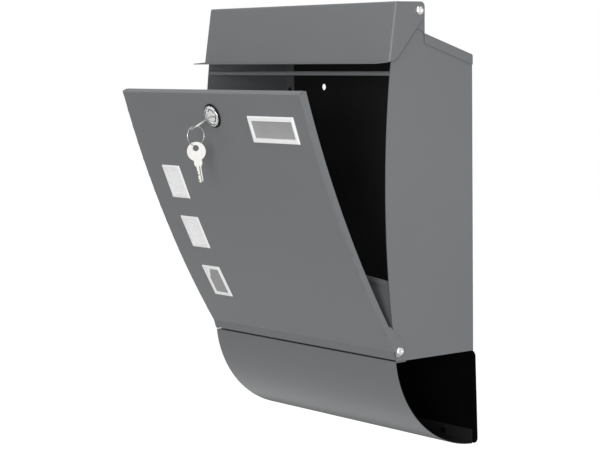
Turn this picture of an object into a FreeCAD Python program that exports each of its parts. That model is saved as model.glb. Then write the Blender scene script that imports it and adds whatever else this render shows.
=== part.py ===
import FreeCAD, Part
import math
import os

# Wall mounted mailbox of folded sheet steel, in millimetres.
# The origin is the centre of the four wall holes, on the back face.
# +X is to the right of someone facing the front, +Y goes into the wall, +Z is up.
V = FreeCAD.Vector

# sheet and widths
sheet = 0.9
body_half = 154.8
side_gap = 0.6
seat_gap = 0.1
roof_gap = 1.2
bend = 2.0

# wall plate
hole_spacing_x = 172.0
hole_spacing_z = 188.0
wall_hole_r = 3.5
plate_overhang_top = 3.4
plate_overhang_bottom = 6.5
plate_corner_r = 6.0

# front edge of the body: one long arc, apex furthest from the wall
front_r = 1102.0
front_depth = 118.1
front_apex_z = -12.0
body_bottom_z = -177.0

side_flange = 14.0
head_setback = 18.1

# roof
roof_back_z = 129.4
roof_front_z = 151.3
head_depth = 65.8
roof_flange = 10.7
upstand_top_z = 167.5
ear_round = 6.9

# flap over the letter slot
flap_pivot_y = -74.2
flap_pivot_z = 173.3
flap_top_z = 182.3
flap_setback = 3.5
flap_rake = 9.6
flap_bottom_z = 122.4
flap_rear_y = -65.9
lip_reach = 16.0
lip_drop = 1.2
flap_rear_corner_r = 5.0
heel_setback = 14.1

# front door
door_front_gap = 0.7
door_top_z = 121.0
door_bottom_z = -164.2
door_flange = 7.2
door_pivot_room = 9.9
door_pivot_z = -166.6
door_open_angle = 23.4
door_ear_r = 8.6
strip_length = 8.9
strip_lean = 6.5
strip_inset = 0.5

# header bar, letter tray and newspaper tube
header_top_z = 113.5
header_face = 4.2
header_depth = 12.3
header_setback = 0.5
tray_setback = 1.9
tray_gap = 3.7
tray_top_z = -90.8
tray_corner_run = 49.0
tray_corner_drop = 4.5
tray_hem = 5.0
tube_top_z = -177.6
tube_setback = 11.9
tube_belly = 21.6
tube_mid_z = -231.9
tube_bottom_z = -275.3
tube_inset = 1.0
tube_flange = 14.0

# screws, nuts, washers and rivets
screw_r = 2.5
screw_head_rim = 2.1
screw_head_h = 2.2
running_fit = 0.08
nut_wall = 1.5
nut_h = 3.6
screw_end = 1.5
washer_rim = 3.0
washer_h = 0.5
rivet_r = 1.6
rivet_head_r = 3.2
rivet_head_h = 1.0
rivet_fit = 0.05
rivet_side_zs = (90.0, -40.0, -150.0)
rivet_tube_xs = (-110.0, 0.0, 110.0)

# name plate and windows in the door
name_x = 98.6
name_z = 83.6
name_w = 74.0
name_h = 28.0
name_sight_w = 67.0
name_sight_h = 18.8
window_x = -104.1
window_w = 31.4
window_h = 38.4
window_sight_w = 24.6
window_sight_h = 31.6
window_zs = (18.6, -42.4, -104.7)
frame_proud = 1.6
frame_collar = 1.5
frame_fit = 0.25
rim_w = 2.2
rim_bevel = 0.9
pane_h = 1.0
pane_margin = 1.0

# cam lock
lock_x = 2.0
lock_z = 96.4
collar_rim = 3.8
collar_h = 1.0
lock_face_rim = 2.0
lock_face_h = 1.2
barrel_r = 9.0
barrel_length = 16.0
barrel_fit = 0.25
lock_nut_wall = 2.0
lock_nut_h = 3.0
plug_r = 5.5
plug_fit = 0.06
plug_tail = 3.4
plug_square = 6.0
cam_length = 30.0
cam_w = 14.0
cam_h = 1.6
cam_screw_head_r = 4.0
cam_screw_head_h = 2.4
cam_screw_r = 2.0

# keys and ring
key_h = 1.5
key_fit = 0.15
bow_r = 9.8
bow_hole_r = 3.0
bow_hole_edge = 6.4
key_neck = 6.8
key_neck_w = 8.6
blade_w = 5.0
blade_length = 16.0
key_stand = 1.6
key_ring_r = 10.2
ring_wire_r = 0.5
ring_droop = 54.0
key_lean = 8.5
key_roll = 19.4
spare_yaw = 44.0
spare_lean = 8.5
ring_slack = 0.35

# worked out from the sizes above
body_inner = body_half - sheet
roof_half = body_half + seat_gap + sheet
door_half = body_half + side_gap + sheet
flap_half = roof_half + side_gap + sheet
hole_xs = (-hole_spacing_x / 2, hole_spacing_x / 2)
hole_zs = (-hole_spacing_z / 2, hole_spacing_z / 2)
roof_slope = math.atan2(roof_front_z - roof_back_z, head_depth)
front_centre_y = front_r - front_depth
door_r = front_r + door_front_gap + sheet
head_front_y = head_setback - front_depth
flap_bottom_front_y = flap_setback - front_depth
flap_top_front_y = flap_bottom_front_y + flap_rake
heel_y = heel_setback - front_depth
tube_front_y = tube_setback - front_depth
tube_mid_y = tube_front_y + tube_belly
screw_head_r = screw_r + screw_head_rim
nut_flats = 2 * (screw_r + nut_wall)
washer_r = screw_r + washer_rim
door_pivot_y = door_pivot_room + washer_r - front_depth
collar_r = barrel_r + collar_rim
lock_face_r = barrel_r + lock_face_rim
lock_nut_flats = 2 * (barrel_r + lock_nut_wall)


def front_y(z, radius=front_r):
    """Y of the body's front arc, or of one parallel to it, at height z."""
    return front_centre_y - math.sqrt(radius ** 2 - (z - front_apex_z) ** 2)


def rounded_wire(corners):
    """Closed wire in the YZ plane from (y, z) or (y, z, corner radius) points."""
    pts = [V(0, c[0], c[1]) for c in corners]
    radii = [c[2] if len(c) > 2 else 0.0 for c in corners]
    starts, ends, arcs = [], [], []
    for i, p in enumerate(pts):
        before = (pts[i - 1] - p).normalize()
        after = (pts[(i + 1) % len(pts)] - p).normalize()
        half = before.getAngle(after) / 2
        if radii[i] > 0:
            back = radii[i] / math.tan(half)
            a, b = p + before * back, p + after * back
            middle = (before + after).normalize()
            arcs.append((a, p + middle * (radii[i] / math.sin(half) - radii[i]), b))
            starts.append(a)
            ends.append(b)
        else:
            arcs.append(None)
            starts.append(p)
            ends.append(p)
    edges = []
    for i in range(len(pts)):
        if arcs[i]:
            edges.append(Part.Arc(*arcs[i]).toShape())
        j = (i + 1) % len(pts)
        if ends[i].distanceToPoint(starts[j]) > 1e-6:
            edges.append(Part.LineSegment(ends[i], starts[j]).toShape())
    return Part.Wire(edges)


def slab(wire, x0, x1):
    """Solid from a closed YZ wire, between two X positions."""
    face = Part.Face(wire)
    face.translate(V(x0, 0, 0))
    return face.extrude(V(x1 - x0, 0, 0))


def arc_band(radius, thickness, z_low, z_high, x0, x1):
    """Curved sheet parallel to the front arc; its outer face has the given radius."""
    def side(r):
        ends = [V(0, front_y(z, r), z) for z in (z_high, (z_high + z_low) / 2, z_low)]
        return ends, Part.Arc(*ends).toShape()
    outer_pts, outer = side(radius)
    inner_pts, inner = side(radius - thickness)
    top = Part.LineSegment(outer_pts[0], inner_pts[0]).toShape()
    bottom = Part.LineSegment(outer_pts[2], inner_pts[2]).toShape()
    return slab(Part.Wire([outer, bottom, inner, top]), x0, x1)


def box(x0, x1, y0, y1, z0, z1):
    return Part.makeBox(x1 - x0, y1 - y0, z1 - z0, V(x0, y0, z0))


def rod(radius, length, start, direction):
    return Part.makeCylinder(radius, length, start, direction)


def fuse(shapes):
    whole = shapes[0].fuse(shapes[1:])
    return whole.removeSplitter()


def mirrored(shape):
    return shape.mirror(V(0, 0, 0), V(1, 0, 0))


def one_solid(shape):
    """The single solid of a boolean result."""
    solids = shape.Solids
    return solids[0] if len(solids) == 1 else shape


def edges_where(shape, test):
    return [e for e in shape.Edges if test(e)]


def long_side_edge(edge, half, shortest):
    """True for an edge that runs in the plane x = +-half and is not a short one."""
    box_ = edge.BoundBox
    flat = box_.XLength < 1e-4
    return flat and abs(abs(box_.XMin) - half) < 1e-4 and edge.Length > shortest


# ---------------------------------------------------------------- body


def back_panel():
    high = body_bottom_z - seat_gap
    upper = box(-body_inner, body_inner, -sheet, 0, high - 2 * plate_corner_r, roof_underside(0) - seat_gap)
    wide = body_half + plate_overhang_top
    wider = body_half + plate_overhang_bottom
    low = tube_bottom_z + sheet
    corners = [(-wider, low, plate_corner_r), (wider, low, plate_corner_r),
               (wide, high, plate_corner_r), (-wide, high, plate_corner_r)]
    lower = slab(rounded_wire(corners), -sheet, 0)
    lower.rotate(V(0, 0, 0), V(0, 0, 1), 90)
    lower = lower.mirror(V(0, 0, 0), V(1, 0, 0))
    panel = fuse([upper, lower])
    for x in hole_xs:
        for z in hole_zs:
            panel = panel.cut(rod(wall_hole_r, 3 * sheet, V(x, sheet, z), V(0, -1, 0)))
    for hole in rivet_holes():
        panel = panel.cut(hole)
    return panel


def roof_underside(depth):
    """Height of the roof sheet's lower face, depth in front of the wall."""
    return roof_back_z + depth * math.tan(roof_slope) - sheet / math.cos(roof_slope)


def side_outline():
    """Outline of a side panel: wall edge, roof line, head, and the long front arc."""
    top_z = flap_pivot_z - 1.5
    arc_top = header_top_z + 6.0
    corner = [(0, body_bottom_z), (0, roof_underside(0) - roof_gap),
              (-head_depth, roof_underside(head_depth) - roof_gap),
              (-head_depth - sheet - seat_gap, roof_underside(head_depth) - roof_gap),
              (-head_depth - sheet - seat_gap, top_z), (head_front_y, top_z),
              (front_y(arc_top), arc_top)]
    pts = [V(0, y, z) for y, z in corner]
    edges = [Part.LineSegment(a, b).toShape() for a, b in zip(pts, pts[1:])]
    end = V(0, front_y(body_bottom_z), body_bottom_z)
    mid_z = (arc_top + body_bottom_z) / 2
    edges.append(Part.Arc(pts[-1], V(0, front_y(mid_z), mid_z), end).toShape())
    edges.append(Part.LineSegment(end, pts[0]).toShape())
    return Part.Wire(edges)


def side_panel():
    """Right hand side with its rear flange; the left one is its mirror image."""
    plate = slab(side_outline(), body_inner, body_half)
    top = roof_underside(2 * sheet) - roof_gap
    flange = box(body_inner - side_flange, body_inner, -2 * sheet, -sheet,
                 body_bottom_z + 2 * bend, top - bend)
    panel = fuse([plate, flange])
    for y, z in ((door_pivot_y, door_pivot_z), (flap_pivot_y, flap_pivot_z)):
        panel = panel.cut(rod(screw_r, 8 * sheet, V(body_half - 4 * sheet, y, z), V(1, 0, 0)))
    for hole in rivet_holes():
        panel = panel.cut(hole)
    return panel


def rivet_spots():
    """Places of the rivets as (x, z, thickness of what they hold)."""
    spots = []
    for sign in (-1, 1):
        for z in rivet_side_zs:
            spots.append((sign * (body_inner - side_flange / 2), z))
    for x in rivet_tube_xs:
        spots.append((x, tube_bottom_z + sheet + tube_flange / 2))
        spots.append((x, tray_floor_z() + tube_flange / 2))
    return spots


def rivet_holes():
    return [rod(rivet_r + rivet_fit, 4 * sheet, V(x, sheet, z), V(0, -1, 0)) for x, z in rivet_spots()]


def shell_rivets():
    rivets = []
    for x, z in rivet_spots():
        shank = rod(rivet_r, 2 * sheet, V(x, 0, z), V(0, -1, 0))
        head = rod(rivet_head_r, rivet_head_h, V(x, -2 * sheet, z), V(0, -1, 0))
        rivet = fuse([shank, head])
        rim = edges_where(rivet, lambda e: abs(e.BoundBox.YMin + 2 * sheet + rivet_head_h) < 1e-4)
        rivets.append(rivet.makeFillet(0.6, rim))
    return Part.makeCompound([one_solid(r) for r in rivets])


def tray_floor_z():
    """Height of the top face of the compartment floor."""
    return body_bottom_z + 2 * sheet


def roof_cover():
    outer = [(0, roof_back_z), (-head_depth, roof_front_z), (-head_depth, roof_front_z - roof_flange),
             (0, roof_back_z - roof_flange)]
    hood = slab(rounded_wire(outer), -roof_half, roof_half)
    rim = edges_where(hood, lambda e: long_side_edge(e, roof_half, 3 * roof_flange)
                      and e.BoundBox.ZMax > roof_front_z - 1)
    hood = hood.makeFillet(bend, rim)
    fall = sheet / math.cos(roof_slope)
    inner = [(roof_flange, roof_back_z - fall - roof_flange * math.tan(roof_slope)),
             (-head_depth - roof_flange, roof_front_z - fall + roof_flange * math.tan(roof_slope)),
             (-head_depth - roof_flange, 0), (roof_flange, 0)]
    core = slab(rounded_wire(inner), -roof_half + sheet, roof_half - sheet)
    rim = edges_where(core, lambda e: long_side_edge(e, roof_half - sheet, 3 * roof_flange)
                      and e.BoundBox.ZLength > 1 and e.BoundBox.YLength > head_depth)
    rim = [e for e in rim if e.BoundBox.ZMin > roof_back_z - 3 * roof_flange]
    core = core.makeFillet(bend - sheet, rim)
    hood = hood.cut(core)
    upstand = box(-roof_half, roof_half, -head_depth - sheet, -head_depth,
                  roof_front_z - 2 * sheet, upstand_top_z)
    parts = [hood, upstand]
    ear = [(-head_depth, roof_front_z - 1.2), (-head_depth - 2.6, roof_front_z + 1.8),
           (flap_pivot_y - ear_round, roof_front_z + 5.4), (flap_pivot_y - ear_round, flap_pivot_z),
           (flap_pivot_y + ear_round, flap_pivot_z), (-head_depth, upstand_top_z)]
    for sign in (-1, 1):
        x0, x1 = sorted((sign * (roof_half - sheet), sign * roof_half))
        plate = slab(rounded_wire(ear), x0, x1)
        round_top = rod(ear_round, sheet, V(x0, flap_pivot_y, flap_pivot_z), V(1, 0, 0))
        parts += [plate, round_top]
    cover = fuse(parts)
    bore = rod(screw_r, 4 * roof_half, V(-2 * roof_half, flap_pivot_y, flap_pivot_z), V(1, 0, 0))
    return cover.cut(bore)


def header_bar():
    """Angle across the top of the door opening; the lock cam catches behind its face."""
    face_y = front_y(header_top_z) + header_setback
    low = header_top_z - header_face
    corners = [(face_y, low), (face_y, header_top_z, bend), (face_y + header_depth, header_top_z),
               (face_y + header_depth, header_top_z - sheet),
               (face_y + sheet, header_top_z - sheet, bend - sheet),
               (face_y + sheet, low)]
    return slab(rounded_wire(corners), -body_inner, body_inner)


def letter_tray():
    """Compartment floor, with a front upstand that keeps the letters in."""
    floor_z = tray_floor_z()
    front = front_y(floor_z) + tray_setback
    half = body_half - tray_gap
    floor = box(-body_inner, body_inner, front + bend, -sheet, floor_z - sheet, floor_z)
    rear = box(-body_inner + side_flange, body_inner - side_flange, -2 * sheet, -sheet,
               floor_z - sheet, floor_z + tube_flange)
    radius = front_r - tray_setback
    upstand = arc_band(radius, sheet, floor_z - sheet, tray_top_z, -half, half)
    hem = arc_band(radius + sheet, sheet, tray_top_z - tray_hem - tray_corner_drop, tray_top_z, -half, half)
    foot = box(-half, half, front, front + 2 * bend, floor_z - sheet, floor_z)
    tray = fuse([floor, rear, upstand, foot])
    hem = hem.cut(corner_cutter(half, tray_top_z - tray_hem, below=True))
    tray = fuse([tray, hem])
    tray = tray.cut(corner_cutter(half, tray_top_z, below=False))
    for room in nut_room(floor_z):
        tray = tray.cut(room)
    for hole in rivet_holes():
        tray = tray.cut(hole)
    return tray


def nut_room(floor_z):
    """Corners left open beside the pivot nuts of the door."""
    end = body_inner - nut_h - screw_end - 1.0
    corner = box(end, body_inner, -front_depth, door_pivot_y + nut_flats,
                 floor_z, door_pivot_z + nut_flats)
    return [corner, mirrored(corner)]


def corner_cutter(half, level, below):
    """What lies past the tray's top line, which falls towards both ends."""
    far = -200.0 if below else 60.0
    start = half - tray_corner_run
    top = [V(-half - 1, 0, level - tray_corner_drop), V(-start, 0, level), V(start, 0, level),
           V(half + 1, 0, level - tray_corner_drop), V(half + 1, 0, level + far),
           V(-half - 1, 0, level + far)]
    face = Part.Face(Part.makePolygon(top + [top[0]]))
    face.translate(V(0, -2 * front_depth, 0))
    return face.extrude(V(0, 2 * front_depth - 3 * tube_flange, 0))


def newspaper_tube():
    """Open ended round-bottomed shelf under the compartment."""
    half = body_half - tube_inset
    top_front = V(0, tube_front_y, tube_top_z)
    middle = V(0, tube_mid_y, tube_mid_z)
    back_bottom = V(0, -sheet - seat_gap, tube_bottom_z)
    arc = Part.Arc(top_front, middle, back_bottom)
    centre = arc.toShape().Curve.Center

    def inward(p):
        return p + (centre - p).normalize() * sheet

    inner = Part.Arc(inward(top_front), inward(middle), inward(back_bottom)).toShape()
    ends = [Part.LineSegment(top_front, inward(top_front)).toShape(),
            Part.LineSegment(back_bottom, inward(back_bottom)).toShape()]
    skin = slab(Part.Wire([arc.toShape(), ends[1], inner, ends[0]]), -half, half)
    lip = box(-half, half, tube_front_y + 0.25, tube_front_y + tube_flange, tube_top_z - sheet, tube_top_z)
    tail = box(-half, half, -2 * sheet, -sheet, tube_bottom_z + 0.02, tube_bottom_z + sheet + tube_flange)
    tube = fuse([skin, lip, tail])
    for hole in rivet_holes():
        tube = tube.cut(hole)
    return tube


# ---------------------------------------------------------------- flap


def flap():
    lean = (flap_top_front_y - flap_bottom_front_y) / (flap_top_z - flap_bottom_z)

    def front_at(z):
        return flap_bottom_front_y + lean * (z - flap_bottom_z)

    rear_low = flap_pivot_z - 6.6
    heel_z = flap_bottom_z + 2.0
    outer = [(flap_rear_y, flap_top_z, flap_rear_corner_r), (front_at(flap_top_z), flap_top_z, bend),
             (flap_bottom_front_y, flap_bottom_z), (heel_y - 3.0, flap_bottom_z + 0.4, 2.5),
             (heel_y, heel_z, 4.0), (flap_rear_y, rear_low, 1.5)]
    hull = slab(rounded_wire(outer), -flap_half, flap_half)
    rim = edges_where(hull, lambda e: long_side_edge(e, flap_half, 30.0)
                      and (e.BoundBox.YMax < flap_top_front_y + 3 or e.BoundBox.ZMin > flap_top_z - 1))
    hull = hull.makeFillet(bend, rim)
    slant = sheet * math.sqrt(1 + lean ** 2)
    inner = [(0, flap_top_z - sheet),
             (front_at(flap_top_z) + slant + sheet * lean, flap_top_z - sheet, bend - sheet),
             (flap_bottom_front_y + slant - lean * 40, flap_bottom_z - 40), (0, flap_bottom_z - 40)]
    core = slab(rounded_wire(inner), -flap_half + sheet, flap_half - sheet)
    rim = edges_where(core, lambda e: long_side_edge(e, flap_half - sheet, 30.0)
                      and (e.BoundBox.YMax < flap_top_front_y + 8 or e.BoundBox.ZMin > flap_top_z - 2))
    core = core.makeFillet(bend - sheet, rim)
    cover = hull.cut(core)
    lip_y = flap_bottom_front_y - lip_reach
    lip_z = flap_bottom_z - lip_drop
    lip = [(flap_bottom_front_y + slant, flap_bottom_z), (flap_bottom_front_y + slant, flap_bottom_z + sheet),
           (flap_bottom_front_y + 0.05, flap_bottom_z + sheet), (lip_y, lip_z + sheet), (lip_y, lip_z)]
    lip = slab(rounded_wire(lip), -flap_half + bend, flap_half - bend)
    cover = fuse([cover, lip])
    start = V(-2 * flap_half, flap_pivot_y, flap_pivot_z)
    bore = rod(screw_r + running_fit, 4 * flap_half, start, V(1, 0, 0))
    return cover.cut(bore)


# ---------------------------------------------------------------- door, modelled closed


def door_panel():
    low = door_bottom_z
    radius = door_r
    mid_z = (door_top_z + low) / 2

    def profile(outer_r, depth, top, bottom, y_extra):
        a = [V(0, front_y(z, outer_r), z) for z in (top, (top + bottom) / 2, bottom)]
        b = [V(0, front_y(z, outer_r - depth) + y_extra, z) for z in (bottom, (top + bottom) / 2, top)]
        edges = [Part.Arc(*a).toShape(), Part.LineSegment(a[2], b[0]).toShape(),
                 Part.Arc(*b).toShape(), Part.LineSegment(b[2], a[0]).toShape()]
        return Part.Wire(edges)

    hull = slab(profile(radius, door_flange, door_top_z, low, 0), -door_half, door_half)
    rim = edges_where(hull, lambda e: long_side_edge(e, door_half, 100.0) and e.BoundBox.YMin < -front_depth)
    rim += edges_where(hull, lambda e: e.BoundBox.XLength > door_half and e.BoundBox.ZMin > door_top_z - 0.01
                       and e.BoundBox.YMin < front_y(door_top_z, radius) + 0.01)
    hull = hull.makeFillet(bend, rim)
    core = slab(profile(radius - sheet, 2 * door_flange, door_top_z - sheet, low - 2 * bend, 0),
                -door_half + sheet, door_half - sheet)
    rim = edges_where(core, lambda e: long_side_edge(e, door_half - sheet, 100.0)
                      and e.BoundBox.YMin < -front_depth + 1.5)
    core = core.makeFillet(bend - sheet, rim)
    panel = hull.cut(core)
    notch_x = body_inner - side_gap
    front_top = front_y(door_top_z, radius)
    for sign in (-1, 1):
        x0, x1 = sorted((sign * notch_x, sign * (door_half - sheet)))
        panel = panel.cut(box(x0, x1, front_top + sheet, 0, door_top_z - 2 * bend, door_top_z + 1))
    ears = []
    for sign in (-1, 1):
        x0, x1 = sorted((sign * (door_half - sheet), sign * door_half))
        heel_y = front_y(low, radius)
        ear = [(heel_y + bend, low + 26.0), (heel_y + door_flange - 1.2, low + 26.0),
               (door_pivot_y + door_ear_r, door_pivot_z + 4.0, 8.0),
               (door_pivot_y + door_ear_r * 0.7, door_pivot_z - 4.5, 4.0),
               (door_pivot_y - 1.0, door_pivot_z - door_ear_r + 2.2, 3.0), (heel_y + bend, low)]
        ears.append(slab(rounded_wire(ear), x0, x1))
    lean = math.radians(strip_lean)
    fold = V(0, front_y(low, radius), low)
    tip = fold + V(0, -math.sin(lean), -math.cos(lean)) * strip_length
    strip = [(fold.y, fold.z + 0.6), (tip.y, tip.z), (tip.y + sheet, tip.z), (fold.y + sheet, fold.z + 0.6)]
    strip_half = body_half - strip_inset
    strip = slab(rounded_wire(strip), -strip_half, strip_half)
    panel = fuse([panel, strip] + ears)
    start = V(-2 * door_half, door_pivot_y, door_pivot_z)
    bore = rod(screw_r + running_fit, 4 * door_half, start, V(1, 0, 0))
    panel = panel.cut(bore)
    for cutter in door_cutouts():
        panel = panel.cut(cutter)
    return panel


def seat(shape, x, z):
    """Places a piece modelled on the XY plane, with +Z outwards, on the closed door at (x, z)."""
    placed = shape.copy()
    tilt = math.degrees(math.asin((z - front_apex_z) / door_r))
    placed.rotate(V(0, 0, 0), V(1, 0, 0), 90)
    placed.rotate(V(0, 0, 0), V(1, 0, 0), -tilt)
    placed.translate(V(x, front_y(z, door_r), z))
    return placed


def plate(width, height, z0, z1):
    return box(-width / 2, width / 2, -height / 2, height / 2, z0, z1)


def door_cutouts():
    deep = 6 * sheet
    cutters = [seat(plate(name_w - 2 * rim_w, name_h - 2 * rim_w, -deep, deep), name_x, name_z)]
    for z in window_zs:
        cutters.append(seat(plate(window_w - 2 * rim_w, window_h - 2 * rim_w, -deep, deep), window_x, z))
    cutters.append(seat(rod(barrel_r + barrel_fit, 2 * deep, V(0, 0, -deep), V(0, 0, 1)), lock_x, lock_z))
    return cutters


def frame(width, height, sight_w, sight_h):
    """Clip-in frame: bevelled rim outside the door, collar through it, pane seat behind."""
    rim = plate(width, height, 0, frame_proud)
    crest = edges_where(rim, lambda e: e.BoundBox.ZMin > frame_proud - 0.01)
    rim = rim.makeChamfer(rim_bevel, crest)
    collar = plate(width - 2 * rim_w - 2 * frame_fit, height - 2 * rim_w - 2 * frame_fit, -frame_collar, 0)
    body = fuse([rim, collar])
    sight = plate(sight_w, sight_h, -2 * frame_collar, 2 * frame_proud)
    pocket = plate(sight_w + 2 * pane_margin, sight_h + 2 * pane_margin, -2 * frame_collar, -0.2)
    return body.cut(sight).cut(pocket)


def pane(sight_w, sight_h, top):
    return plate(sight_w + 2 * pane_margin - 0.2, sight_h + 2 * pane_margin - 0.2, top - pane_h, top)


def name_frame():
    return seat(frame(name_w, name_h, name_sight_w, name_sight_h), name_x, name_z)


def name_pane():
    return seat(pane(name_sight_w, name_sight_h, -0.2), name_x, name_z)


# ---------------------------------------------------------------- lock, modelled on the XY plane


def lock_collar():
    ring = rod(collar_r, collar_h, V(0, 0, 0), V(0, 0, 1))
    ring = ring.cut(rod(barrel_r + barrel_fit, 4 * collar_h, V(0, 0, -collar_h), V(0, 0, 1)))
    rim = edges_where(ring, lambda e: e.BoundBox.ZMin > collar_h - 0.01
                      and e.BoundBox.XLength > 2 * lock_face_r)
    return ring.makeFillet(collar_h / 2, rim)


def lock_housing():
    head = rod(lock_face_r, lock_face_h, V(0, 0, collar_h), V(0, 0, 1))
    rim = edges_where(head, lambda e: e.BoundBox.ZMin > collar_h + lock_face_h - 0.01)
    head = head.makeFillet(lock_face_h / 2, rim)
    barrel = rod(barrel_r, barrel_length + collar_h, V(0, 0, -barrel_length), V(0, 0, 1))
    flat = box(barrel_r - 1, barrel_r + 1, -barrel_r, barrel_r, -barrel_length, -barrel_length + 3)
    flats = [flat, mirrored(flat)]
    housing = fuse([head, barrel])
    for side in flats:
        housing = housing.cut(side)
    bore = rod(plug_r + plug_fit, 4 * barrel_length, V(0, 0, -2 * barrel_length), V(0, 0, 1))
    return housing.cut(bore)


def hexagon(flats, height, z0):
    corner = flats / math.sqrt(3)
    angles = [math.radians(60 * i) for i in range(6)]
    pts = [V(corner * math.cos(a), corner * math.sin(a), z0) for a in angles]
    return Part.Face(Part.makePolygon(pts + [pts[0]])).extrude(V(0, 0, height))


def lock_nut():
    top = -sheet - 0.15
    nut = hexagon(lock_nut_flats, lock_nut_h, top - lock_nut_h)
    return nut.cut(rod(barrel_r + barrel_fit / 2, 20, V(0, 0, -15), V(0, 0, 1)))


def plug_face():
    """Height of the plug's front face over the door."""
    return collar_h + lock_face_h - 0.3


def lock_plug():
    length = barrel_length + plug_face()
    plug = rod(plug_r, length, V(0, 0, -barrel_length), V(0, 0, 1))
    square = plate(plug_square, plug_square, -barrel_length - plug_tail, -barrel_length)
    plug = fuse([plug, square])
    slot = plate(blade_w + 2 * key_fit, key_h + 2 * key_fit, key_stand - blade_length - 0.6, 1)
    plug = plug.cut(key_seated(slot))
    thread = rod(cam_screw_r, plug_tail + 1, V(0, 0, -barrel_length - plug_tail), V(0, 0, 1))
    return plug.cut(thread)


def lock_cam():
    """Points to the left while unlocked."""
    z1 = -barrel_length - 0.1
    z0 = z1 - cam_h
    eye = rod(cam_w / 2, cam_h, V(0, 0, z0), V(0, 0, 1))
    arm = box(-cam_length + cam_w / 2, 0, -cam_w / 2, cam_w / 2, z0, z1)
    tip = edges_where(arm, lambda e: e.BoundBox.ZLength > cam_h / 2 and e.BoundBox.XMax < -cam_w / 2)
    arm = arm.makeFillet(4.0, tip)
    cam = fuse([eye, arm])
    return cam.cut(plate(plug_square + 0.1, plug_square + 0.1, z0 - 1, z1 + 1))


def cam_washer():
    top = -barrel_length - plug_tail
    ring = rod(cam_w / 2 - 1, 0.8, V(0, 0, top - 0.8), V(0, 0, 1))
    return ring.cut(rod(cam_screw_r + 0.1, 4, V(0, 0, top - 2), V(0, 0, 1)))


def cam_screw():
    top = -barrel_length - plug_tail - 0.8
    head = rod(cam_screw_head_r, cam_screw_head_h, V(0, 0, top - cam_screw_head_h), V(0, 0, 1))
    rim = edges_where(head, lambda e: e.BoundBox.ZMax < top - cam_screw_head_h + 0.01)
    head = head.makeFillet(1.0, rim)
    shank = rod(cam_screw_r - 0.02, plug_tail + 0.8 + 0.9, V(0, 0, top), V(0, 0, 1))
    screw = fuse([head, shank])
    return screw.cut(cross_recess(0.9, 4.2, 1.2, top - cam_screw_head_h))


def cross_recess(width, span, depth, z):
    """Cross slot cut upwards from height z."""
    bars = [plate(width, span, z - 1, z + depth), plate(span, width, z - 1, z + depth)]
    return fuse(bars)


def key():
    """Flat key in the XY plane, bow end at +Y, shoulder at y = 0, blade towards -Y."""
    bow_y = key_neck + bow_r - 0.8
    low, high = -key_h / 2, key_h / 2
    bow = rod(bow_r, key_h, V(0, bow_y, low), V(0, 0, 1))
    neck = box(-key_neck_w / 2, key_neck_w / 2, 0, bow_y, low, high)
    blade = box(-blade_w / 2, blade_w / 2, -blade_length, 0, low, high)
    blank = fuse([bow, neck, blade])
    hole = rod(bow_hole_r, 2, V(0, key_hole_y(), -1), V(0, 0, 1))
    groove = box(0.3, 1.1, -blade_length - 1, 1.0, high - 0.45, high + 1)
    blank = blank.cut(hole).cut(groove)
    for i, depth in enumerate((1.2, 0.6, 1.7, 0.9)):
        y = -blade_length + (i + 1) * blade_length / 6
        notch = Part.makePolygon([V(-blade_w / 2 - 1, y - 2.2 - 1, -1), V(-blade_w / 2 + depth, y - 0.5, -1),
                                  V(-blade_w / 2 + depth, y + 0.5, -1), V(-blade_w / 2 - 1, y + 2.2 + 1, -1),
                                  V(-blade_w / 2 - 1, y - 2.2 - 1, -1)])
        blank = blank.cut(Part.Face(notch).extrude(V(0, 0, 2)))
    return blank


def key_hole_y():
    return key_neck + 2 * bow_r - 0.8 - bow_hole_edge


def key_seated(shape):
    """Puts a shape made on the plug's axis, with z = 0 at the plug's face, where the key sits."""
    placed = shape.copy()
    placed.rotate(V(0, 0, 0), V(1, 0, 0), key_lean)
    placed.rotate(V(0, 0, 0), V(0, 0, 1), key_roll)
    placed.translate(V(0, 0, plug_face()))
    return placed


def key_in_lock():
    """Blade in the plug, bow out, sagging a little in its slot."""
    placed = key()
    placed.rotate(V(0, 0, 0), V(1, 0, 0), 90)
    placed.translate(V(0, 0, key_stand))
    return key_seated(placed)


# ---------------------------------------------------------------- where the closed door's pieces go


def opened(shape):
    """Swings a piece of the closed door to where it stands at rest, open on its stop."""
    turned = shape.copy()
    turned.rotate(V(0, door_pivot_y, door_pivot_z), V(1, 0, 0), door_open_angle)
    return turned


def opened_point(vertex):
    return opened(vertex).Point


def lock_axis():
    """Outward direction of the lock at rest."""
    tilt = math.asin((lock_z - front_apex_z) / door_r)
    turn = math.radians(door_open_angle) - tilt
    return V(0, -math.cos(turn), -math.sin(turn))


def ring_hook():
    """Centre of the hole in the bow of the key that is in the lock."""
    hole = key_seated(Part.Vertex(V(0, 0, key_stand + key_hole_y())))
    return opened_point(seat(hole, lock_x, lock_z))


def ring_centre():
    """Centre of the ring, which hangs in a plane square to the X axis."""
    drop = math.asin(-lock_axis().z) + math.radians(key_lean + ring_droop)
    return ring_hook() + V(0, -math.cos(drop), -math.sin(drop)) * key_ring_r


def key_ring():
    return Part.makeTorus(key_ring_r, ring_wire_r, ring_centre(), V(1, 0, 0))


def spare_hook():
    """Lowest point of the ring's wire."""
    return ring_centre() + V(0, 0, -key_ring_r)


def spare_hole():
    """Centre of the spare key's hole, hanging on the wire."""
    return spare_hook() + V(0, 0, ring_wire_r + ring_slack - bow_hole_r)


def spare_key():
    """Hangs from the lowest point of the ring."""
    placed = key()
    placed.translate(V(0, -key_hole_y(), 0))
    placed.rotate(V(0, 0, 0), V(0, 0, 1), spare_lean)
    placed.rotate(V(0, 0, 0), V(1, 0, 0), 90)
    placed.rotate(V(0, 0, 0), V(0, 0, 1), spare_yaw)
    placed.translate(spare_hole())
    return placed


# ---------------------------------------------------------------- pivot hardware


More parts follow.
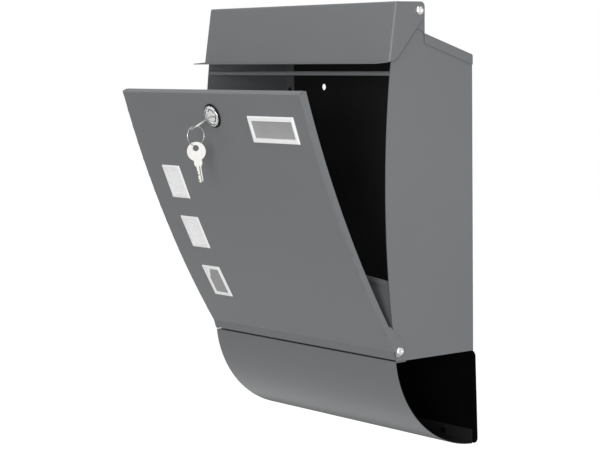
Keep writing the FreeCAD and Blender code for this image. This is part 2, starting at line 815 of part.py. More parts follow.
def pivot_screw(outer_x, y, z):
    """Pan head screw through the right hand side, pointing inwards."""
    head = rod(screw_head_r, screw_head_h, V(0, 0, 0), V(0, 0, 1))
    rim = edges_where(head, lambda e: e.BoundBox.ZMin > screw_head_h - 0.01)
    head = head.makeFillet(1.6, rim)
    head = head.cut(cross_recess(1.0, 4.6, 1.3, 0).mirror(V(0, 0, screw_head_h / 2), V(0, 0, 1)))
    reach = outer_x - body_inner + nut_h + screw_end
    shank = rod(screw_r, reach, V(0, 0, -reach), V(0, 0, 1))
    screw = fuse([head, shank])
    screw.rotate(V(0, 0, 0), V(0, 1, 0), 90)
    screw.translate(V(outer_x + 0.1, y, z))
    return screw


def pivot_nut(y, z):
    nut = hexagon(nut_flats, nut_h, 0).cut(rod(screw_r, 3 * nut_h, V(0, 0, -nut_h), V(0, 0, 1)))
    nut.rotate(V(0, 0, 0), V(0, 1, 0), 90)
    nut.translate(V(body_inner - nut_h, y, z))
    return nut


def pivot_washer(inner_x, y, z):
    ring = rod(washer_r, washer_h, V(0, 0, 0), V(0, 0, 1)).cut(rod(screw_r, 4, V(0, 0, -1), V(0, 0, 1)))
    ring.rotate(V(0, 0, 0), V(0, 1, 0), 90)
    ring.translate(V(inner_x + (side_gap - washer_h) / 2, y, z))
    return ring


def pair(shape):
    """A right hand piece and its mirror image, as two separate solids."""
    return Part.makeCompound([one_solid(shape), one_solid(mirrored(shape))])


def main():
    os.makedirs("parts", exist_ok=True)
    side = side_panel()
    windows = frame(window_w, window_h, window_sight_w, window_sight_h)
    window_glass = pane(window_sight_w, window_sight_h, -0.2)
    nodes = {
        "back_panel": back_panel(),
        "right_side": side,
        "left_side": mirrored(side),
        "roof_cover": roof_cover(),
        "header_bar": header_bar(),
        "letter_tray": letter_tray(),
        "newspaper_tube": newspaper_tube(),
        "shell_rivets": shell_rivets(),
        "flap": flap(),
        "flap_screws": pair(pivot_screw(flap_half, flap_pivot_y, flap_pivot_z)),
        "flap_nuts": pair(pivot_nut(flap_pivot_y, flap_pivot_z)),
        "flap_washers": pair(pivot_washer(roof_half, flap_pivot_y, flap_pivot_z)),
        "door_screws": pair(pivot_screw(door_half, door_pivot_y, door_pivot_z)),
        "door_nuts": pair(pivot_nut(door_pivot_y, door_pivot_z)),
        "door_washers": pair(pivot_washer(body_half, door_pivot_y, door_pivot_z)),
        "door_panel": opened(door_panel()),
        "name_frame": opened(name_frame()),
        "name_pane": opened(name_pane()),
        "key_ring": key_ring(),
        "spare_key": spare_key(),
    }
    for place, z in zip(("upper", "middle", "lower"), window_zs):
        nodes["window_frame_" + place] = opened(seat(windows, window_x, z))
        nodes["window_pane_" + place] = opened(seat(window_glass, window_x, z))
    lock_pieces = {"lock_collar": lock_collar, "lock_housing": lock_housing, "lock_nut": lock_nut,
                   "lock_plug": lock_plug, "lock_cam": lock_cam, "cam_washer": cam_washer,
                   "cam_screw": cam_screw, "key_in_lock": key_in_lock}
    for name, make in lock_pieces.items():
        nodes[name] = opened(seat(make(), lock_x, lock_z))
    for name, shape in nodes.items():
        shape.exportStep("parts/" + name + ".step")
        box_ = shape.BoundBox
        print(name, len(shape.Solids), shape.isValid(), round(shape.Volume, 1),
              [round(v, 1) for v in (box_.XMin, box_.XMax, box_.YMin, box_.YMax, box_.ZMin, box_.ZMax)])
    foot = opened_point(Part.Vertex(V(lock_x, front_y(lock_z, door_r), lock_z)))
    print("lock axis", lock_axis(), "at", foot)
    print("ring hook", ring_hook(), "ring centre", ring_centre(), "spare key hole", spare_hole())


main()
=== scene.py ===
import bpy
import bmesh
import math
from mathutils import Matrix, Vector
from mathutils.geometry import tessellate_polygon


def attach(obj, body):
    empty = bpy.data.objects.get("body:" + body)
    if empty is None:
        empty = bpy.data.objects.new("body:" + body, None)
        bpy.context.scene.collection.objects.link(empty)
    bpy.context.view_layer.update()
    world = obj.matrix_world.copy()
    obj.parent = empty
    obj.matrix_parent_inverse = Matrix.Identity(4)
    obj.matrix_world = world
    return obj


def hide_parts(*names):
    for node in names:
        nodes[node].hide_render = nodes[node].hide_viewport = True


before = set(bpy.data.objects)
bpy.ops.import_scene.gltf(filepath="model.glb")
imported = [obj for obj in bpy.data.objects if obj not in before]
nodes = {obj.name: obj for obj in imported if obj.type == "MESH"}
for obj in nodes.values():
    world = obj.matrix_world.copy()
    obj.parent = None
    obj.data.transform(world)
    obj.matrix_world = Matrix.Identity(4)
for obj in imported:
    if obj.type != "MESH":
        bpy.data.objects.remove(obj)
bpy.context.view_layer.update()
collection = bpy.context.scene.collection
mm = 0.001
print("frame loaded:", len(nodes), "nodes")


# Value does sums on shader sockets, Finish makes one material

class Value:
    def __init__(self, finish, socket):
        self.finish = finish
        self.socket = socket

    def sum(self, operation, other, swapped=False):
        feeds = (other, self) if swapped else (self, other)
        made = self.finish.node("ShaderNodeMath", {"operation": operation}, dict(enumerate(feeds)))
        return Value(self.finish, made.outputs[0])

    def __add__(self, other):
        return self.sum("ADD", other)

    def __radd__(self, other):
        return self.sum("ADD", other, True)

    def __sub__(self, other):
        return self.sum("SUBTRACT", other)

    def __rsub__(self, other):
        return self.sum("SUBTRACT", other, True)

    def __mul__(self, other):
        return self.sum("MULTIPLY", other)

    def __rmul__(self, other):
        return self.sum("MULTIPLY", other, True)

    def __pow__(self, other):
        return self.sum("POWER", other)

    def ramp(self, low, high, smooth=True):
        kind = "SMOOTHSTEP" if smooth else "LINEAR"
        made = self.finish.node("ShaderNodeMapRange", {"interpolation_type": kind, "clamp": True},
                                {0: self, 1: low, 2: high, 3: 0.0, 4: 1.0})
        return Value(self.finish, made.outputs[0])


class Finish:
    def __init__(self, name, attribute=None):
        self.material = bpy.data.materials.new(name)
        self.material.use_nodes = True
        self.tree = self.material.node_tree
        self.shader = next(n for n in self.tree.nodes if n.type == "BSDF_PRINCIPLED")
        if attribute:
            source = self.node("ShaderNodeAttribute", {"attribute_name": attribute}, {}).outputs["Vector"]
        else:
            source = self.node("ShaderNodeTexCoord", {}, {}).outputs["Object"]
        self.place = Value(self, source)

    def node(self, kind, settings, sockets):  # settings first, then the sockets
        made = self.tree.nodes.new(kind)
        for key, setting in settings.items():
            setattr(made, key, setting)
        for key, value in sockets.items():
            self.feed(made.inputs[key], value)
        return made

    def feed(self, socket, value):
        if isinstance(value, Value):
            self.tree.links.new(value.socket, socket)
        else:
            socket.default_value = value

    def noise(self, scale, detail, roughness, stretch=None):
        place = self.place
        if stretch:
            mapped = self.node("ShaderNodeMapping", {}, {"Vector": place, "Scale": stretch})
            place = Value(self, mapped.outputs[0])
        made = self.node("ShaderNodeTexNoise", {}, {"Vector": place, "Scale": scale,
                                                    "Detail": detail, "Roughness": roughness})
        return Value(self, made.outputs[0])

    def cells(self, scale):
        made = self.node("ShaderNodeTexVoronoi", {"feature": "F1"}, {"Vector": self.place, "Scale": scale})
        return Value(self, made.outputs["Distance"])

    def axis(self, letter):
        parts = self.node("ShaderNodeSeparateXYZ", {}, {0: self.place})
        return Value(self, parts.outputs["XYZ".index(letter)])

    def blend(self, low, high, amount):
        made = self.node("ShaderNodeMix", {"data_type": "RGBA"}, {0: amount, 6: low, 7: high})
        return Value(self, made.outputs[2])

    def bump(self, height, strength, distance, under=None):
        sockets = {"Height": height, "Strength": strength, "Distance": distance}
        if under is not None:
            sockets["Normal"] = under
        return Value(self, self.node("ShaderNodeBump", {}, sockets).outputs[0])

    def set(self, **inputs):
        names = {"color": "Base Color", "metal": "Metallic", "rough": "Roughness", "normal": "Normal",
                 "alpha": "Alpha", "specular": "Specular IOR Level", "glow": "Emission Color",
                 "glowStrength": "Emission Strength"}
        for key, value in inputs.items():
            self.feed(self.shader.inputs[names[key]], value)
        return self.material


def grey(level, tint=(1.0, 1.0, 1.0)):
    return (level * tint[0], level * tint[1], level * tint[2], 1.0)


greyCoat = {"level": 0.150, "tint": (0.955, 1.0, 1.045), "rough": 0.40, "specular": 0.5,
            "grain": 2600.0, "peel": 420.0, "cloud": 9.0, "scuff": 60.0}


def greyPaint(f):
    level, tint = greyCoat["level"], greyCoat["tint"]
    grain = f.noise(greyCoat["grain"], 3.0, 0.6)
    peel = f.noise(greyCoat["peel"], 2.0, 0.5)
    cloud = f.noise(greyCoat["cloud"], 3.0, 0.55)
    scuff = f.noise(greyCoat["scuff"], 5.0, 0.7, stretch=(0.35, 1.0, 1.0)).ramp(0.66, 0.78)
    base = f.blend(grey(level * 0.95, tint), grey(level * 1.05, tint), cloud)
    speck = f.blend(base, grey(level * 1.5, tint), grain.ramp(0.60, 0.78) * 0.30)
    worn = f.blend(speck, grey(level * 1.22), scuff * 0.14)
    normal = f.bump(grain, 0.10, 0.00012, f.bump(peel, 0.09, 0.0004))
    rough = greyCoat["rough"] + (cloud - 0.5) * 0.08 - scuff * 0.05 + (grain - 0.5) * 0.06
    return worn, rough, normal


def greyPowderCoat():
    f = Finish("grey powder coat")
    color, rough, normal = greyPaint(f)
    return f.set(color=color, rough=rough, normal=normal, specular=greyCoat["specular"])


# the newspaper holder's skin is coloured black within its rolled skin and under its fold, painted shade for
# its dark inside; metres
holder = {"centreY": 0.002849, "centreZ": -0.165667, "skin": 0.1093, "topZ": -0.1785, "edge": 0.0001,
          "black": 0.002}


def holderCoat():
    h = holder
    f = Finish("grey powder coat, painted shade inside")
    color, rough, normal = greyPaint(f)
    y = f.axis("Y") - h["centreY"]
    z = f.axis("Z") - h["centreZ"]
    reach = (y * y + z * z) ** 0.5
    inside = 1.0 - reach.ramp(h["skin"] - h["edge"], h["skin"] + h["edge"], False)
    below = 1.0 - f.axis("Z").ramp(h["topZ"] - h["edge"], h["topZ"] + h["edge"], False)
    # painted shade: the holder's inside and the part under its fold are coloured near black
    dark = inside * below
    return f.set(color=f.blend(color, grey(h["black"]), dark), rough=rough + dark * 0.3, normal=normal,
                 specular=greyCoat["specular"])


# painted shade: black for the back panel and rivets, deep black in the newspaper holder; painted light makes
# it a little lighter inside the letter box, above the body's foot
shadeBlackCoat = {"deep": 0.0010, "dusty": 0.0024, "paintedLightIndoors": 0.028, "footLow": -0.1790, "footHigh": -0.1770,
             "rough": 0.72, "specular": 0.05, "grain": 2600.0, "dust": 24.0}


def shadeBlackPowderCoat():
    b = shadeBlackCoat
    f = Finish("black coat, painted shade")
    grain = f.noise(b["grain"], 3.0, 0.6)
    dust = f.noise(b["dust"], 4.0, 0.6).ramp(0.52, 0.80)
    # painted light: the black is lifted above the body's foot, where light reaches inside the letter box
    paintedLightIndoors = f.axis("Z").ramp(b["footLow"], b["footHigh"], False)
    # painted shade: deep black for the dark inside of the newspaper holder
    deep = f.blend(grey(b["deep"]), grey(b["dusty"]), dust * 0.7 + grain * 0.3)
    color = f.blend(deep, grey(b["paintedLightIndoors"]), paintedLightIndoors * (0.7 + dust * 0.3))
    normal = f.bump(grain, 0.12, 0.00012)
    return f.set(color=color, rough=b["rough"] + dust * 0.10, normal=normal, specular=b["specular"])


zinc = {"dark": grey(0.82, (0.98, 1.0, 1.02)), "bright": grey(0.95, (1.0, 1.0, 0.98)), "rough": 0.26,
        "spangle": 900.0}


def zincPlate():
    f = Finish("zinc plated steel")
    spangle = f.cells(zinc["spangle"])
    fine = f.noise(3000.0, 3.0, 0.6)
    smear = f.noise(260.0, 3.0, 0.6)
    color = f.blend(zinc["dark"], zinc["bright"], spangle.ramp(0.1, 0.7) * 0.6 + smear * 0.4)
    return f.set(color=color, metal=1.0, rough=zinc["rough"] + smear * 0.14,
                 normal=f.bump(fine, 0.06, 0.00005))


chrome = {"dark": grey(0.80), "bright": grey(0.92, (1.0, 1.0, 1.01)), "rough": 0.09}


def chromePlate():
    f = Finish("chrome plate")
    smear = f.noise(180.0, 3.0, 0.6)
    fine = f.noise(2600.0, 2.0, 0.5)
    color = f.blend(chrome["dark"], chrome["bright"], smear)
    return f.set(color=color, metal=1.0, rough=chrome["rough"] + smear * 0.10,
                 normal=f.bump(fine, 0.03, 0.00004))


# the groove machined along the blade is placed in the key's own millimetres; its darker colour is painted
# shade in the groove
nickel = {"dark": grey(0.46, (1.02, 1.0, 0.96)), "bright": grey(0.62, (1.01, 1.0, 0.97)), "rough": 0.52,
          "paintedGrooveShade": grey(0.12), "grooveLeft": (0.15, 0.4), "grooveRight": (1.0, 1.3),
          "grooveTop": (0.5, 1.2)}


def nickelPlate():
    f = Finish("nickel plated keys", "local")
    brush = f.noise(0.9, 3.0, 0.6, stretch=(1.0, 0.08, 1.0))
    smear = f.noise(0.16, 4.0, 0.6)
    across = f.axis("X")
    along = f.axis("Y")
    left = across.ramp(*nickel["grooveLeft"])
    groove = left * (1.0 - across.ramp(*nickel["grooveRight"])) * (1.0 - along.ramp(*nickel["grooveTop"]))
    color = f.blend(nickel["dark"], nickel["bright"], brush * 0.6 + smear * 0.4)
    # painted shade: the groove is darkened in colour as well as bumped
    colourWithGrooveShade = f.blend(color, nickel["paintedGrooveShade"], groove * 0.75)
    normal = f.bump(1.0 - groove, 0.8, 0.0003, f.bump(brush, 0.10, 0.00006))
    return f.set(color=colourWithGrooveShade, metal=1.0, rough=nickel["rough"] + smear * 0.16, normal=normal)


springWire = {"dark": grey(0.60), "bright": grey(0.85), "rough": 0.20}


def ringSteel():
    f = Finish("ring steel")
    fine = f.noise(1500.0, 3.0, 0.6)
    smear = f.noise(240.0, 3.0, 0.6)
    color = f.blend(springWire["dark"], springWire["bright"], smear)
    return f.set(color=color, metal=1.0, rough=springWire["rough"] + smear * 0.12,
                 normal=f.bump(fine, 0.05, 0.00004))


paleFrame = {"dark": grey(0.80), "bright": grey(0.90), "rough": 0.34, "specular": 0.5}


def framePlastic():
    f = Finish("silver white frame plastic")
    fine = f.noise(2200.0, 3.0, 0.6)
    cloud = f.noise(70.0, 3.0, 0.6)
    color = f.blend(paleFrame["dark"], paleFrame["bright"], cloud * 0.7 + fine * 0.3)
    return f.set(color=color, rough=paleFrame["rough"] + cloud * 0.10, normal=f.bump(fine, 0.08, 0.00008),
                 specular=paleFrame["specular"])


frosted = {"dark": grey(0.71), "bright": grey(0.79), "rough": 0.42, "alpha": 0.30, "specular": 0.4}


def frostedAcrylic():
    f = Finish("frosted acrylic")
    fine = f.noise(3200.0, 3.0, 0.7)
    cloud = f.noise(55.0, 3.0, 0.6)
    color = f.blend(frosted["dark"], frosted["bright"], cloud)
    return f.set(color=color, rough=frosted["rough"] + cloud * 0.10, alpha=frosted["alpha"] + cloud * 0.03,
                 normal=f.bump(fine, 0.18, 0.00010), specular=frosted["specular"])


gasket = {"dark": grey(0.006), "bright": grey(0.016), "rough": 0.60, "specular": 0.1}


def blackPlastic():
    f = Finish("black gasket plastic")
    fine = f.noise(2400.0, 3.0, 0.6)
    cloud = f.noise(200.0, 2.0, 0.5)
    color = f.blend(gasket["dark"], gasket["bright"], cloud)
    return f.set(color=color, rough=gasket["rough"] + cloud * 0.14, normal=f.bump(fine, 0.12, 0.00008),
                 specular=gasket["specular"])


finishes = {"greyCoat": greyPowderCoat(), "holder": holderCoat(), "shadeBlackCoat": shadeBlackPowderCoat(),
            "zinc": zincPlate(), "chrome": chromePlate(), "nickel": nickelPlate(), "ringSteel": ringSteel(),
            "frame": framePlastic(), "pane": frostedAcrylic(), "gasket": blackPlastic()}
finishes["pane"].surface_render_method = "BLENDED"
print("finishes made:", len(finishes))


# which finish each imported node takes

nodeFinish = {
    "greyCoat": ["right_side", "left_side", "roof_cover", "header_bar", "letter_tray", "flap", "door_panel"],
    "holder": ["newspaper_tube"],
    # back panel and rivets take black as painted shade for the dark inside
    "shadeBlackCoat": ["back_panel", "shell_rivets"],
    "zinc": ["flap_screws", "flap_nuts", "flap_washers", "door_screws", "door_nuts", "door_washers",
             "lock_nut", "lock_cam", "cam_washer", "cam_screw"],
    "frame": ["name_frame", "window_frame_upper", "window_frame_middle", "window_frame_lower"],
    "pane": ["name_pane", "window_pane_upper", "window_pane_middle", "window_pane_lower"],
    "gasket": ["lock_collar"],
    "chrome": ["lock_housing", "lock_plug"],
    "nickel": ["key_in_lock", "spare_key"],
    "ringSteel": ["key_ring"],
}

for finishName, members in nodeFinish.items():
    for member in members:
        mesh = nodes[member].data
        mesh.materials.clear()
        mesh.materials.append(finishes[finishName])
print("packed nodes finished")


# pieces made here: plain meshes at the origin, sizes in millimetres until the end

def addPiece(name, points, faces, body, finish, replaced, matrix, local=False, smooth=35.0):
    mesh = bpy.data.meshes.new(name)
    mesh.from_pydata([(matrix @ Vector(p)) * mm for p in points], [], faces)
    if local:
        store = mesh.attributes.new("local", "FLOAT_VECTOR", "POINT")
        for i, p in enumerate(points):
            store.data[i].vector = p
    faceOutward(mesh)
    addMesh(name, mesh, body, finish, replaced, smooth)


def faceOutward(mesh):
    form = bmesh.new()
    form.from_mesh(mesh)
    bmesh.ops.recalc_face_normals(form, faces=form.faces)
    form.to_mesh(mesh)
    form.free()


def addMesh(name, mesh, body, finish, replaced, smooth):
    mesh.materials.clear()
    mesh.materials.append(finishes[finish])
    mesh.shade_smooth()
    mesh.set_sharp_from_angle(angle=math.radians(smooth))
    piece = bpy.data.objects.new(name, mesh)
    collection.objects.link(piece)
    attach(piece, body)
    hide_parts(*replaced)


def lathe(profile, steps=96):
    points, faces = [], []
    for i in range(steps):
        a = 2 * math.pi * i / steps
        points += [(r * math.cos(a), r * math.sin(a), z) for r, z in profile]
    count = len(profile)
    for i in range(steps):
        j = (i + 1) % steps
        for k in range(count):
            after = (k + 1) % count
            faces.append((i * count + k, j * count + k, j * count + after, i * count + after))
    return points, faces


# the lock's own frame: x to the right, y up the door, z out of the door
lock = {"foot": (2.0, -217.854, 70.1374), "outward": (0.0, -0.952326, -0.305082),
        "up": (0.0, -0.305082, 0.952326), "plugFace": 1.9, "lean": 8.5, "roll": 19.4}


def lockFrame():
    x, y, z = Vector((1, 0, 0)), Vector(lock["up"]), Vector(lock["outward"])
    turn = Matrix((x, y, z)).transposed().to_4x4()
    return Matrix.Translation(lock["foot"]) @ turn


housing = {"bore": 5.56, "barrel": 9.0, "back": -16.0, "chamfer": 0.3, "under": 1.0, "rim": 11.0,
           "top": 2.2, "dish": 1.82}


def makeHousing():  # up the barrel, round the rim, down into the dish, then the bead round the plug
    bore, barrel, rim = housing["bore"], housing["barrel"], housing["rim"]
    back, chamfer, under = housing["back"], housing["chamfer"], housing["under"]
    top, dish = housing["top"], housing["dish"]
    profile = [(bore, back), (barrel - chamfer, back), (barrel, back + chamfer),
               (barrel, under), (rim - 0.1, under), (rim, under + 0.15),
               (rim, top - 0.55), (rim - 0.12, top - 0.25), (rim - 0.4, top - 0.05),
               (rim - 0.75, top), (rim - 1.1, top - 0.06), (rim - 1.35, top - 0.3),
               (rim - 1.5, dish), (bore + 1.0, dish + 0.08), (bore + 0.7, dish + 0.25),
               (bore + 0.3, dish + 0.25), (bore, dish + 0.1)]
    points, faces = lathe(profile)
    addPiece("lock_housing_bezel", points, faces, "door", "chrome", ["lock_housing"], lockFrame())


# y runs up the key from its shoulders, with the blade below
keyShape = {"bow": 9.8, "bowY": 15.8, "bowSteps": 72, "hole": 3.0, "holeY": 19.2, "holeSteps": 40,
            "neckHalf": 4.3, "neckEnd": 1.2, "bladeHalf": 2.5, "tipHalf": 0.8, "length": 16.0, "thick": 1.5,
            "bevel": 0.16, "stand": 1.6, "cuts": (1.2, 0.6, 1.7, 0.9), "cutPlaces": 6,
            "cutMouth": 1.1, "cutFloor": 0.3}


def keyOutline():
    k = keyShape
    neck, neckEnd, blade, length = k["neckHalf"], k["neckEnd"], k["bladeHalf"], k["length"]
    mouth, floor = k["cutMouth"], k["cutFloor"]
    start = math.asin(neck / k["bow"])
    loop = []
    for i in range(k["bowSteps"] + 1):
        a = -math.pi / 2 + start + (2 * math.pi - 2 * start) * i / k["bowSteps"]
        loop.append((k["bow"] * math.cos(a), k["bowY"] + k["bow"] * math.sin(a)))
    shoulder = [(neck, neckEnd + 1.5), (neck - 0.5, neckEnd + 0.4), (blade, 0.0)]
    loop += [(-x, y) for x, y in shoulder]
    for i, depth in reversed(list(enumerate(k["cuts"]))):
        y = -length + (i + 1) * length / k["cutPlaces"]
        bottom = -blade + depth
        loop += [(-blade, y + mouth), (bottom, y + floor), (bottom, y - floor), (-blade, y - mouth)]
    loop += [(-blade + 0.2, -length + 1.2), (-k["tipHalf"], -length), (k["tipHalf"], -length),
             (blade - 0.1, -length + 1.5)]
    return loop + shoulder[::-1]


def inset(loop, distance):
    moved = []
    for i, (x, y) in enumerate(loop):
        before, after = Vector(loop[i - 1]), Vector(loop[(i + 1) % len(loop)])
        along = (after - before).normalized()
        moved.append((x - along.y * distance, y + along.x * distance))
    return moved


def flatSolid(outer, hole, thick, bevel):
    half = thick / 2
    points, faces = [], []
    tops, bottoms = [], []
    for loop in (outer, hole):
        count = len(loop)
        shrunk = inset(loop, bevel)
        rings = []
        for ring, z in ((shrunk, half), (loop, half - bevel), (loop, bevel - half), (shrunk, -half)):
            rings.append(len(points))
            points += [(x, y, z) for x, y in ring]
        for low, high in zip(rings, rings[1:]):
            for i in range(count):
                after = (i + 1) % count
                faces.append((low + i, low + after, high + after, high + i))
        tops.append((rings[0], count))
        bottoms.append((rings[3], count))
    for group in (tops, bottoms):
        flat = [[Vector(points[start + i]) for i in range(count)] for start, count in group]
        index = [start + i for start, count in group for i in range(count)]
        faces += [tuple(index[v] for v in tri) for tri in tessellate_polygon(flat)]
    return points, faces


# where the spare key's bow hole sits on the ring, and how the key hangs from it
spareHang = {"hole": (3.0212, -240.0946, 38.1170), "yaw": 44.0, "lean": 8.5}


def makeKeys():
    k = keyShape
    angles = [-2 * math.pi * i / k["holeSteps"] for i in range(k["holeSteps"])]
    hole = [(k["hole"] * math.cos(a), k["holeY"] + k["hole"] * math.sin(a)) for a in angles]
    points, faces = flatSolid(keyOutline(), hole, k["thick"], k["bevel"])
    turn = Matrix.Rotation(math.radians(90), 4, "X")
    roll = Matrix.Rotation(math.radians(lock["roll"]), 4, "Z")
    sag = roll @ Matrix.Rotation(math.radians(lock["lean"]), 4, "X")
    seated = (lockFrame() @ Matrix.Translation((0, 0, lock["plugFace"])) @ sag
              @ Matrix.Translation((0, 0, k["stand"])) @ turn)
    addPiece("key_turning_lock", points, faces, "lock", "nickel", ["key_in_lock"], seated, True, 30.0)
    yaw = Matrix.Rotation(math.radians(spareHang["yaw"]), 4, "Z")
    lean = Matrix.Rotation(math.radians(spareHang["lean"]), 4, "Z")
    hung = Matrix.Translation(spareHang["hole"]) @ yaw @ turn @ lean @ Matrix.Translation((0, -k["holeY"], 0))
    addPiece("key_hanging", points, faces, "spare", "nickel", ["spare_key"], hung, True, 30.0)


# node groups for what repeats or follows a path, each turned into a plain mesh

def newGroup(name, inputs):
    group = bpy.data.node_groups.new(name, "GeometryNodeTree")
    group.interface.new_socket(name="Geometry", in_out="INPUT", socket_type="NodeSocketGeometry")
    for label, kind in inputs:
        group.interface.new_socket(name=label, in_out="INPUT", socket_type=kind)
    group.interface.new_socket(name="Geometry", in_out="OUTPUT", socket_type="NodeSocketGeometry")
    return group, group.nodes.new("NodeGroupInput"), group.nodes.new("NodeGroupOutput")


def addNode(group, kind, settings, sockets):
    made = group.nodes.new(kind)
    for key, setting in settings.items():
        setattr(made, key, setting)
    for key, feed in sockets.items():
        if isinstance(feed, bpy.types.NodeSocket):
            group.links.new(feed, made.inputs[key])
        else:
            made.inputs[key].default_value = feed
    return made


def finishGroup(group, geometry, source, target):
    real = addNode(group, "GeometryNodeRealizeInstances", {}, {0: geometry})
    painted = addNode(group, "GeometryNodeSetMaterial", {}, {0: real.outputs[0],
                                                             "Material": source.outputs["Finish"]})
    group.links.new(painted.outputs[0], target.inputs[0])


def grow(name, seedMesh, group, values):
    carrier = bpy.data.objects.new(name, seedMesh)
    collection.objects.link(carrier)
    modifier = carrier.modifiers.new(name, "NODES")
    modifier.node_group = group
    for item in group.interface.items_tree:
        if item.item_type == "SOCKET" and item.in_out == "INPUT" and item.name in values:
            modifier[item.identifier] = values[item.name]
    graph = bpy.context.evaluated_depsgraph_get()
    mesh = bpy.data.meshes.new_from_object(carrier.evaluated_get(graph))
    carrier.modifiers.remove(modifier)
    bpy.data.objects.remove(carrier)
    return mesh


splitRing = {"centre": (3.0212, -240.0946, 50.4670), "radius": 10.2, "wire": 0.26, "wireSides": 14,
             "turns": 2.02, "pitch": 0.24, "steps": 96}


def makeRing():
    r = splitRing
    sizes = [(label, "NodeSocketFloat") for label in ("Turns", "Radius", "Pitch", "Wire")]
    group, source, target = newGroup("split ring", sizes + [("Finish", "NodeSocketMaterial")])
    coil = addNode(group, "GeometryNodeCurveSpiral", {}, {
        "Resolution": r["steps"], "Rotations": source.outputs["Turns"], "Height": source.outputs["Pitch"],
        "Start Radius": source.outputs["Radius"], "End Radius": source.outputs["Radius"]})
    section = addNode(group, "GeometryNodeCurvePrimitiveCircle", {}, {
        "Resolution": r["wireSides"], "Radius": source.outputs["Wire"]})
    wire = addNode(group, "GeometryNodeCurveToMesh", {}, {
        0: coil.outputs[0], 1: section.outputs[0], "Fill Caps": True})
    finishGroup(group, wire.outputs[0], source, target)
    seed = bpy.data.meshes.new("ring seed")
    pitch = 2 * r["pitch"] * mm
    mesh = grow("split ring", seed, group, {"Turns": r["turns"], "Radius": r["radius"] * mm, "Pitch": pitch,
                                            "Wire": r["wire"] * mm, "Finish": finishes["ringSteel"]})
    toSide = Matrix.Rotation(math.radians(90), 4, "Y") @ Matrix.Translation((0, 0, -pitch / 2))
    mesh.transform(Matrix.Translation(Vector(r["centre"]) * mm) @ toSide)
    addMesh("split_ring", mesh, "ring", "ringSteel", ["key_ring"], 60.0)


# a domed head in front of the sheets it holds; its tail ends flush at the wall
rivet = {"shank": 1.6, "tailRound": 0.1, "head": 3.2, "rise": 1.0, "brim": 0.25, "hold": 1.8, "axis": 0.001,
         "sideX": 146.9, "sideZs": (90.0, -40.0, -150.0),
         "tubeXs": (-110.0, 0.0, 110.0), "rowZs": (-267.4, -168.2)}


def makeRivets():
    r = rivet
    hold, brim, shank = r["hold"], r["brim"], r["shank"]
    dome = [(r["axis"], hold + r["rise"])]
    for degrees in range(15, 91, 15):
        a = math.radians(degrees)
        dome.append((r["head"] * math.sin(a), hold + brim + (r["rise"] - brim) * math.cos(a)))
    dome += [(r["head"], hold), (shank, hold), (shank, r["tailRound"]), (shank - r["tailRound"], 0.0),
             (r["axis"], 0.0)]
    points, faces = lathe(dome, 32)
    one = bpy.data.meshes.new("rivet")
    toWall = Matrix.Rotation(math.radians(90), 4, "X")
    one.from_pydata([(toWall @ Vector(p)) * mm for p in points], [], faces)
    sample = bpy.data.objects.new("rivet", one)
    spots = [(sign * r["sideX"], 0, z) for sign in (-1, 1) for z in r["sideZs"]]
    spots += [(x, 0, z) for x in r["tubeXs"] for z in r["rowZs"]]
    seed = bpy.data.meshes.new("rivet spots")
    seed.from_pydata([Vector(p) * mm for p in spots], [], [])
    group, source, target = newGroup("rivet row", [("Rivet", "NodeSocketObject"),
                                                   ("Finish", "NodeSocketMaterial")])
    info = addNode(group, "GeometryNodeObjectInfo", {}, {"Object": source.outputs["Rivet"]})
    spread = addNode(group, "GeometryNodeInstanceOnPoints", {}, {
        "Points": source.outputs["Geometry"], "Instance": info.outputs["Geometry"]})
    finishGroup(group, spread.outputs[0], source, target)
    # the rivets take the black painted-shade coat
    mesh = grow("shell rivets", seed, group, {"Rivet": sample, "Finish": finishes["shadeBlackCoat"]})
    faceOutward(mesh)
    addMesh("domed_rivets", mesh, "body", "shadeBlackCoat", ["shell_rivets"], 40.0)
    bpy.data.objects.remove(sample)


makeHousing()
makeKeys()
makeRing()
makeRivets()
print("lock, keys, ring and rivets made")


# floor, light and camera

# the room's light in metres and watts; glossy pieces mirror soft patches of light and dark
stage = {"floorZ": -0.62, "floorSize": 60.0, "floorGlow": 0.5, "sky": 0.55, "seen": 1.0,
         "patchScale": 2.6, "patchEdge": (0.44, 0.56), "patchLevel": (0.03, 1.15)}
lamps = {
    "front": {"at": (1.35, -1.75, 0.15), "aim": (0, -0.1, -0.05), "size": 0.5, "watts": 20.0},
    "overhead": {"at": (0.1, -0.7, 1.6), "aim": (0, -0.1, 0.0), "size": 1.2, "watts": 13.0},
    "right": {"at": (2.4, -0.5, 0.1), "aim": (0, -0.1, -0.05), "size": 1.0, "watts": 15.0},
}
viewpoint = {"at": (1.532986, -1.309047, 0.133941), "turn": 51.854, "down": 5.374, "roll": -0.722,
             "lens": 110.539, "near": 0.05, "far": 100}


def plainFloor():
    f = Finish("pale floor")
    cloud = f.noise(1.5, 2.0, 0.5)
    return f.set(color=f.blend(grey(0.90), grey(0.94), cloud), rough=0.8 + cloud * 0.1, glow=grey(1.0),
                 glowStrength=stage["floorGlow"])


def makeFloor():
    mesh = bpy.data.meshes.new("floor")
    half = stage["floorSize"] / 2
    z = stage["floorZ"]
    corners = [(-half, -half, z), (half, -half, z), (half, half, z), (-half, half, z)]
    mesh.from_pydata(corners, [], [(0, 1, 2, 3)])
    floor = bpy.data.objects.new("floor", mesh)
    mesh.materials.append(plainFloor())
    collection.objects.link(floor)
    floor.visible_diffuse = False
    floor.visible_glossy = False


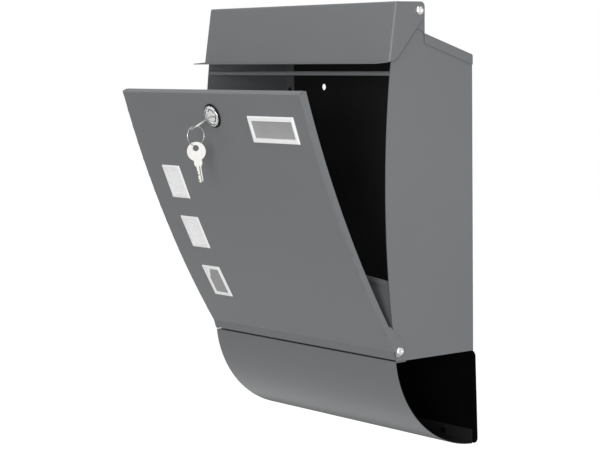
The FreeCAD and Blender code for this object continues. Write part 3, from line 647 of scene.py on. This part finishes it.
def makeSky():
    world = bpy.data.worlds.new("studio")
    world.use_nodes = True
    tree = world.node_tree
    back = tree.nodes["Background"]
    back.inputs["Color"].default_value = (1.0, 1.0, 1.0, 1.0)
    path = tree.nodes.new("ShaderNodeLightPath")
    level = tree.nodes.new("ShaderNodeMapRange")
    level.inputs["To Max"].default_value = stage["seen"]
    tree.links.new(path.outputs["Is Camera Ray"], level.inputs["Value"])
    room = tree.nodes.new("ShaderNodeTexCoord")
    patches = tree.nodes.new("ShaderNodeTexNoise")
    patches.inputs["Scale"].default_value = stage["patchScale"]
    patches.inputs["Detail"].default_value = 1.0
    tree.links.new(room.outputs["Generated"], patches.inputs["Vector"])
    contrast = tree.nodes.new("ShaderNodeMapRange")
    for label, values in (("From", stage["patchEdge"]), ("To", stage["patchLevel"])):
        contrast.inputs[label + " Min"].default_value = values[0]
        contrast.inputs[label + " Max"].default_value = values[1]
    tree.links.new(patches.outputs[0], contrast.inputs["Value"])
    mixed = tree.nodes.new("ShaderNodeMix")
    tree.links.new(path.outputs["Is Glossy Ray"], mixed.inputs["Factor"])
    mixed.inputs["A"].default_value = stage["sky"]
    tree.links.new(contrast.outputs["Result"], mixed.inputs["B"])
    tree.links.new(mixed.outputs["Result"], level.inputs["To Min"])
    tree.links.new(level.outputs["Result"], back.inputs["Strength"])
    bpy.context.scene.world = world


def makeLamps():
    for name, lamp in lamps.items():
        data = bpy.data.lights.new(name, "AREA")
        data.shape = "SQUARE"
        data.size = lamp["size"]
        data.energy = lamp["watts"]
        light = bpy.data.objects.new(name, data)
        light.location = lamp["at"]
        light.rotation_euler = (Vector(lamp["aim"]) - Vector(lamp["at"])).to_track_quat("-Z", "Y").to_euler()
        collection.objects.link(light)


def makeCamera():
    data = bpy.data.cameras.new("camera")
    data.lens = viewpoint["lens"]
    data.clip_start = viewpoint["near"]
    data.clip_end = viewpoint["far"]
    camera = bpy.data.objects.new("camera", data)
    turn, down, roll = (math.radians(viewpoint[k]) for k in ("turn", "down", "roll"))
    camera.matrix_world = (Matrix.Translation(viewpoint["at"]) @ Matrix.Rotation(turn, 4, "Z")
                           @ Matrix.Rotation(math.pi / 2 - down, 4, "X") @ Matrix.Rotation(roll, 4, "Z"))
    collection.objects.link(camera)
    bpy.context.scene.camera = camera


makeFloor()
makeSky()
makeLamps()
makeCamera()
bpy.context.scene.view_settings.view_transform = "Standard"
print("stage ready")
